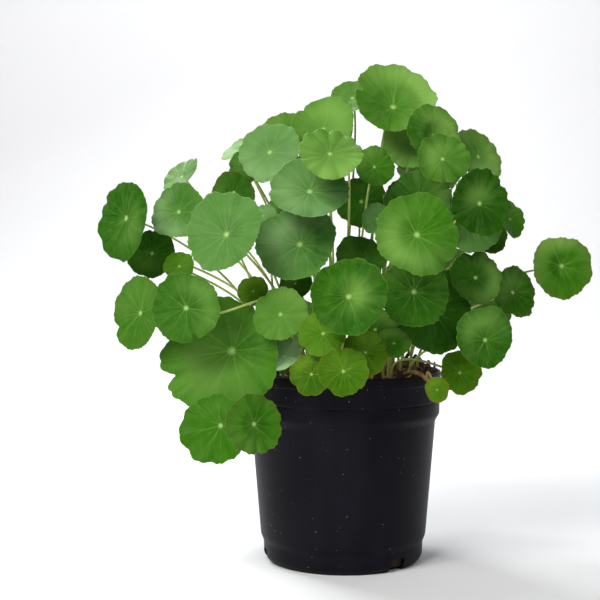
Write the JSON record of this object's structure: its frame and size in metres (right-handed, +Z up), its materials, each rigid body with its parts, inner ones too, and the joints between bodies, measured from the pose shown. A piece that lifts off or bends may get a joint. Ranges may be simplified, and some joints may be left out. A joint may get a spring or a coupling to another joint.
{
  "type": "potted pennywort plant",
  "caption": "Pennywort in a black nursery pot: round scalloped leaves on thin stalks joined at the middle of each blade, over creeping stems and coarse potting mix.",
  "frame": {"origin": "centre of the pot's flat base, on the surface it stands on", "axes": "+Z is up along the pot's axis, -Y is the side that faces the viewer, +X is the viewer's right"},
  "size_m": [0.3232, 0.2212, 0.3268],
  "materials": {
    "pot_plastic": "satin",
    "potting_mix": "matte",
    "leaf_bright": "satin",
    "leaf_deep": "satin",
    "leaf_pale": "satin",
    "young_growth": "satin"
  },
  "bodies": {
    "root": {"creeping_stem_back_left": "young_growth", "creeping_stem_back_right": "young_growth", "creeping_stem_front": "young_growth", "creeping_stem_left": "young_growth", "creeping_stem_middle": "young_growth", "creeping_stem_right": "young_growth", "leaf_01": "leaf_bright", "leaf_02": "leaf_deep", "leaf_03": "leaf_pale", "leaf_04": "leaf_deep", "leaf_05": "leaf_pale", "leaf_06": "leaf_deep", "leaf_08": "leaf_deep", "leaf_09": "leaf_bright", "leaf_10": "leaf_bright", "leaf_11": "leaf_bright", "leaf_12": "leaf_bright", "leaf_13": "leaf_bright", "leaf_14": "leaf_bright", "leaf_15": "young_growth", "leaf_16": "leaf_pale", "leaf_16_behind": "leaf_bright", "leaf_17": "leaf_pale", "leaf_18": "leaf_deep", "leaf_19": "leaf_bright", "leaf_20": "leaf_bright", "leaf_21": "leaf_pale", "leaf_24": "leaf_bright", "leaf_25": "leaf_deep", "leaf_26": "leaf_bright", "leaf_26_behind": "leaf_bright", "leaf_27": "leaf_bright", "leaf_28": "leaf_pale", "leaf_29": "leaf_deep", "leaf_30": "leaf_bright", "leaf_31": "leaf_deep", "leaf_32": "leaf_bright", "leaf_33": "leaf_pale", "leaf_34": "leaf_bright", "leaf_34_behind": "leaf_deep", "leaf_35": "leaf_bright", "leaf_36": "leaf_deep", "leaf_37": "leaf_bright", "leaf_38": "leaf_bright", "leaf_39": "leaf_bright", "leaf_40": "leaf_deep", "leaf_42": "leaf_bright", "leaf_back_1": "leaf_bright", "leaf_back_2": "leaf_bright", "leaf_back_3": "leaf_pale", "leaf_back_4": "leaf_bright", "leaf_back_5": "leaf_bright", "leaf_back_6": "leaf_pale", "leaf_back_7": "leaf_deep", "leaf_back_8": "leaf_bright", "leaf_crown_1": "leaf_bright", "leaf_crown_2": "leaf_bright", "leaf_crown_3": "leaf_deep", "pot": "pot_plastic", "potting_mix": "potting_mix"}
  },
  "joints": []
}
